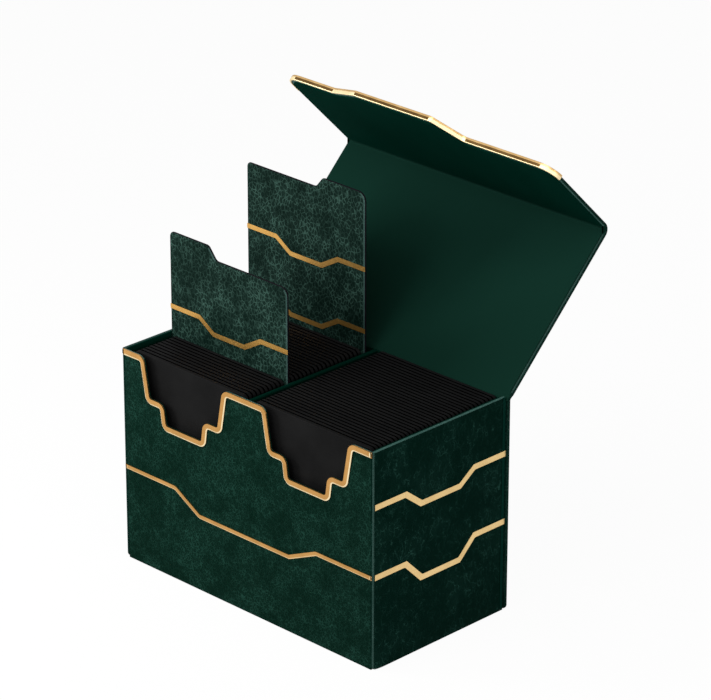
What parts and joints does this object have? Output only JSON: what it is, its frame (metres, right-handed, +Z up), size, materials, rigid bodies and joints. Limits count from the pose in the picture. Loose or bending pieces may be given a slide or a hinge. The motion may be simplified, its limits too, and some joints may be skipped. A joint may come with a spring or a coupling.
{
  "type": "playing card deck box",
  "caption": "Leather-wrapped box for two rows of sleeved playing cards, with a creased lid, magnetic front flap, thumb notches and lift-out dividers.",
  "frame": {"origin": "middle of the case's base, on the surface it stands on", "axes": "+X to the right, +Y from the notched front to the back, +Z up"},
  "size_m": [0.1491, 0.1354, 0.1972],
  "materials": {
    "wrapped_board": "dark green grained leatherette over grey board",
    "soft_leather": "dark green leatherette with no board inside",
    "lining": "smooth dark green velour",
    "tray_floor": "grey board covered in dark green paper",
    "gold_trim": "satin gold-plated trim",
    "gold_foil": "hot-stamped gold foil",
    "card_sleeve": "matt black card sleeves",
    "keeper_steel": "plain sheet steel, hidden",
    "magnet": "nickel-plated magnet, hidden"
  },
  "bodies": {
    "case": {"front_panel": "wrapped_board", "front_lining": "lining", "front_keepers": "keeper_steel", "left_side_panel": "wrapped_board", "right_side_panel": "wrapped_board", "left_side_lining": "lining", "right_side_lining": "lining", "back_panel": "wrapped_board", "back_lining": "lining", "base_panel": "wrapped_board", "tray_floor": "tray_floor", "centre_partition": "lining", "front_rim_trim": "gold_trim", "front_line": "gold_trim", "left_upper_line": "gold_foil", "left_lower_line": "gold_foil", "right_upper_line": "gold_foil", "right_lower_line": "gold_foil"},
    "crease": {"lid_crease_strip": "soft_leather"},
    "lid": {"lid_panel": "wrapped_board", "lid_lining": "lining", "flap_fold": "soft_leather"},
    "flap": {"flap_panel": "wrapped_board", "flap_lining": "lining", "flap_magnets": "magnet", "flap_edge_trim": "gold_trim"},
    "front_divider": {"divider_front": "wrapped_board", "divider_front_line": "gold_foil"},
    "rear_divider": {"divider_rear": "wrapped_board", "divider_rear_lines": "gold_foil"},
    "cards_left_front": {"cards_left_front": "card_sleeve"},
    "cards_left_rear": {"cards_left_rear": "card_sleeve"},
    "cards_right_front": {"cards_right_front": "card_sleeve"},
    "cards_right_middle": {"cards_right_middle": "card_sleeve"},
    "cards_right_rear": {"cards_right_rear": "card_sleeve"}
  },
  "joints": [
    {"name": "back_crease_hinge", "type": "hinge", "parent": "case", "child": "crease", "pos_m": [0, 0.0379, 0.0947], "axis": [-1, 0, 0], "range_deg": [-48, 80], "deforming": ["lid_crease_strip"]},
    {"name": "lid_crease_hinge", "type": "hinge", "parent": "crease", "child": "lid", "pos_m": [0, 0.04016, 0.09697], "axis": [-1, 0, 0], "range_deg": [-87, 0]},
    {"name": "flap_hinge", "type": "hinge", "parent": "lid", "child": "flap", "pos_m": [0, 0.09187, 0.15278], "axis": [-1, 0, 0], "range_deg": [0, 90], "deforming": ["flap_fold"]},
    {"name": "front_divider_slide", "type": "slide", "parent": "case", "child": "front_divider", "axis": [0, 0, 1], "range_m": [-0.047, 0]},
    {"name": "rear_divider_slide", "type": "slide", "parent": "case", "child": "rear_divider", "axis": [0, 0, 1], "range_m": [-0.0704, 0]},
    {"name": "cards_left_front_lift", "type": "slide", "parent": "case", "child": "cards_left_front", "axis": [0, 0, 1], "range_m": [0, 0.095]},
    {"name": "cards_left_rear_lift", "type": "slide", "parent": "case", "child": "cards_left_rear", "axis": [0, 0, 1], "range_m": [0, 0.095]},
    {"name": "cards_right_front_lift", "type": "slide", "parent": "case", "child": "cards_right_front", "axis": [0, 0, 1], "range_m": [0, 0.095]},
    {"name": "cards_right_middle_lift", "type": "slide", "parent": "case", "child": "cards_right_middle", "axis": [0, 0, 1], "range_m": [0, 0.095]},
    {"name": "cards_right_rear_lift", "type": "slide", "parent": "case", "child": "cards_right_rear", "axis": [0, 0, 1], "range_m": [0, 0.095]}
  ],
  "couplings": [
    {"joint": "front_divider_slide", "follows": "rear_divider_slide", "ratio": 0.6676},
    {"joint": "lid_crease_hinge", "follows": "rear_divider_slide", "rad_per_m": 21.569}
  ]
}
